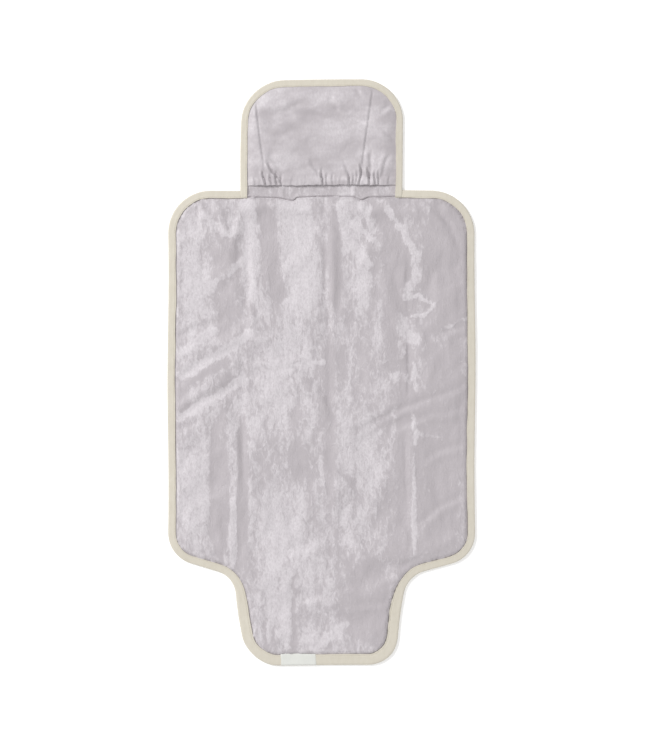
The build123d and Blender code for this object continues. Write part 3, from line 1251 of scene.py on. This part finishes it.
# pleats stitched into the pocket's end, running down to the mouth: a step up on one side
pleats = [
    dict(top=(-0.0865, 0.350), foot=(-0.0715, 0.250), height=0.0019, side=-1),
    dict(top=(0.0635, 0.362), foot=(0.0490, 0.250), height=0.0017, side=-1),
]
pocketFolds = [
    ((-53, 246), (-72, 272), 2.2, 2.2),
    ((-52, 258), (-70, 286), 0.9, 5),
    ((2, 244), (-16, 276), 0.9, 3),
    ((38, 244), (26, 272), 0.9, 2.6),
    ((60, 246), (64, 286), 1, 2.8),
    ((74, 246), (88, 282), 0.8, 2.6),
    ((-74, 330), (-10, 346), 0.8, 5),
    ((10, 350), (22, 330), 0.8, 3.5),
    ((-48, 332), (20, 322), 0.9, 6),
    ((38, 366), (56, 346), 0.7, 3),
    ((34, 326), (58, 318), 0.8, 3),
    ((-60, 304), (-10, 312), 0.7, 7),
    ((90, 346), (72, 330), 0.8, 3),
    ((90, 300), (74, 310), 0.6, 3),
]


def pocketHeight(x, y):
    places = np.column_stack([x, y])
    away, _ = nearest(places, flapPath)
    within = away - tape["head"]
    rise = np.clip(within / pocket["run"], 0, 1)
    height = pocket["edge"] + pocket["dome"] * (1 - (1 - rise) ** 2)
    height -= 0.0012 * ease((mouthY + 0.030 - y) / 0.030)  # the elastic holds the mouth down
    drawn = ease(within / 0.008)
    height += drawn * (0.0010 * ripple(x, y, 0.034, 0.018, 4.9)
                       + 0.0005 * ripple(x, y, 0.014, 0.009, 15.2))
    height += 1.5 * creaseDepth(x, y, pocketFolds) * drawn
    for pleat in pleats:
        (topX, topY), (footX, footY) = pleat["top"], pleat["foot"]
        line = footX + (topX - footX) * (y - footY) / (topY - footY)
        off = (x - line) * pleat["side"]
        fade = ease((y - footY + 0.008) / 0.03) * ease((topY + 0.014 - y) / 0.010)
        step = ease(off / 0.0016 + 0.5) * np.exp(-np.clip(off, 0, 1) / 0.012)
        height += pleat["height"] * fade * drawn * (step - 0.25 * hump(off, 0.002))
    start = mouthY * 1000
    mouthCreases = [
        ((at, start - 3), (at + lean, start + 1.7 * length), deep, 1.3)
        for at, length, lean, deep in gathers
    ]
    height += pocket["gather"] * creaseDepth(x, y, mouthCreases) * drawn
    back = np.clip((y - mouthY) / pocket["gatherRun"], 0, 6)
    height += 0.0004 * ripple(x, y, 0.0034, 0.012, 21.0, 1) * np.exp(-back ** 2 * 1.4) * drawn
    band = np.clip((y - mouthY) / pocket["hem"], 0, 1)
    height += 0.0006 * np.sin(band * math.pi) * (y < mouthY + pocket["hem"])
    return np.maximum(height, 0.0029 - 0.0004 * (within < 0.002))


panel = makeSheet("pocket_panel", (-flapCorner[0], mouthY), flapCorner, pocket["grid"])
trimTo(panel, flapPath, pocket["inset"])
cutAt(panel, [((place, 0, 0), (1, 0, 0)) for place in (-fold["pocketEnd"], fold["pocketEnd"])])
places = points(panel)
mouth = np.abs(places[:, 1] - mouthY) < 0.0004
places[:, 2] = pocketHeight(places[:, 0], places[:, 1])
x, y = places[:, 0], places[:, 1]
places[:, 1] += 0.0009 * ripple(x, y, 0.009, 0.05, 5.1) * ease((mouthY + 0.012 - y) / 0.012)
movePoints(panel, places)
# the mouth's edge is turned under to make the hem
choose(panel, mouth)
editMesh()
for back, down in ((-0.0002, 0.0004), (0.0006, 0.0005), (0.0045, 0.0001), (0.0045, -0.0002)):
    extrude((0, back, -down))
leaveMesh()
faceOut(panel)
if np.mean([face.normal.z for face in panel.data.polygons if face.center.y > 0.3]) < 0:
    pick(panel)
    editMesh()
    selectAll()
    bpy.ops.mesh.flip_normals()
    leaveMesh()
middles = np.array([face.center for face in panel.data.polygons])
kinds = np.where(middles[:, 0] < 0, 1, 2)
kinds[np.abs(middles[:, 0]) <= fold["pocketEnd"]] = 0
numberPanels(panel, kinds)
thicken(panel, pocket["thickness"])
movePoints(panel, settle(points(panel)))
panel.data.materials.append(pocketSatin)
places = points(panel)
# painted sheen, in broad soft patches over the pocket
paintSheen(panel, 0.46 + 0.5 * ripple(places[:, 0], places[:, 1], 0.040, 0.020, 8.1, 4))
rememberNormals(panel)
pocketParts = partAt(panel, ["pocket_middle", "pocket_left", "pocket_right"])
pocketMiddle = pocketParts["pocket_middle"]
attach(pocketMiddle, "pocket_front")
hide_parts("pocket_front_panel", "pocket_hem_casing", "pocket_elastic")
for side, sign in (("left", -1), ("right", 1)):
    piece = pocketParts["pocket_" + side]
    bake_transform(piece)
    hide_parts("pocket_" + side + "_panel")
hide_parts("pocket_hem_casing_ends", "pocket_elastic_ends")
print("pocket made")

# A blank woven label, folded over the foot's tape
label = dict(
    left=-0.0535, right=-0.0085, depth=0.0152, lift=0.00035, thickness=0.0004, grid=0.0012,
    # the tape's rise under it: depth in from the edge and height, in millimetres
    depths=(-0.3, 0.0, 0.22, 0.9, 2.4, 4.8, 7.0, 8.5, 11.0, 12.0),
    heights=(1.4, 1.8, 2.8, 3.3, 3.5, 3.6, 3.75, 3.95, 4.05, 3.9),
)
labelPiece = makeSheet(
    "label_tape", (label["left"], footEnd - 0.0002), (label["right"], footEnd + label["depth"]),
    label["grid"])
places = points(labelPiece)
x, y = places[:, 0].copy(), places[:, 1].copy()
depth = (y - footEnd) * 1000 * tape["cut"] / tape["foot"]
places[:, 2] = np.interp(depth, label["depths"], label["heights"]) / 1000 + label["lift"]
places[:, 2] += tape["slack"] * tapeSlack(x, y * 0 + footEnd)
ends = np.minimum(x - label["left"], label["right"] - x)
places[:, 2] += 0.0003 * np.sin(x * 190) * ease(depth / 6) - 0.00025 * (1 - ease(ends / 0.0022))
places[:, 1] += 0.0005 * np.sin(x * 130) * ease(depth / 9)
movePoints(labelPiece, settle(places))
labelPiece.data.materials.append(labelCloth)
thicken(labelPiece, label["thickness"])
for face in labelPiece.data.polygons:
    face.use_smooth = abs(face.normal.z) > 0.3
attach(labelPiece, "foot_flap")
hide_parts("label")
print("label made")

# Studio: a white floor, broad soft lights and the camera straight above
studio = dict(
    cameraAt=(0.0045, -0.0038, 2.5), lens=93.9, floor=(0.97, 0.97, 0.97), world=0.53, glow=0.18,
    key=dict(at=(-4.8, 3.2, 4.35), size=2.5, power=352),
    fill=dict(at=(2.0, -2.4, 2.6), size=2.2, power=29),
)
floorPiece = makeSheet("floor", (-30, -30), (30, 30), 15)
floorPiece.location.z = -0.0003
floorMaterial, _, shader = newMaterial("floorWhite")
setInputs(shader, {
    "Base Color": (*studio["floor"], 1), "Roughness": 0.9, "Emission Color": (1, 1, 1, 1),
    "Emission Strength": studio["glow"],
})
floorPiece.data.materials.append(floorMaterial)

world = bpy.data.worlds.new("softRoom")
bpy.context.scene.world = world
world.use_nodes = True
setInputs(world.node_tree.nodes["Background"], {"Color": (1, 1, 1, 1), "Strength": studio["world"]})
for name in ("key", "fill"):
    settings = studio[name]
    lamp = bpy.data.lights.new(name, "AREA")
    lamp.shape = "DISK"
    lamp.size = settings["size"]
    lamp.energy = settings["power"]
    light = bpy.data.objects.new(name, lamp)
    light.location = settings["at"]
    light.rotation_euler = (-Vector(settings["at"])).to_track_quat("-Z", "Y").to_euler()
    link(light)

camera = bpy.data.objects.new("camera", bpy.data.cameras.new("camera"))
camera.data.lens = studio["lens"]
camera.data.clip_end = 50
camera.location = studio["cameraAt"]
link(camera)
bpy.context.scene.camera = camera
bpy.context.scene.view_settings.view_transform = "Standard"
bpy.context.scene.view_settings.look = "None"
print("studio set")
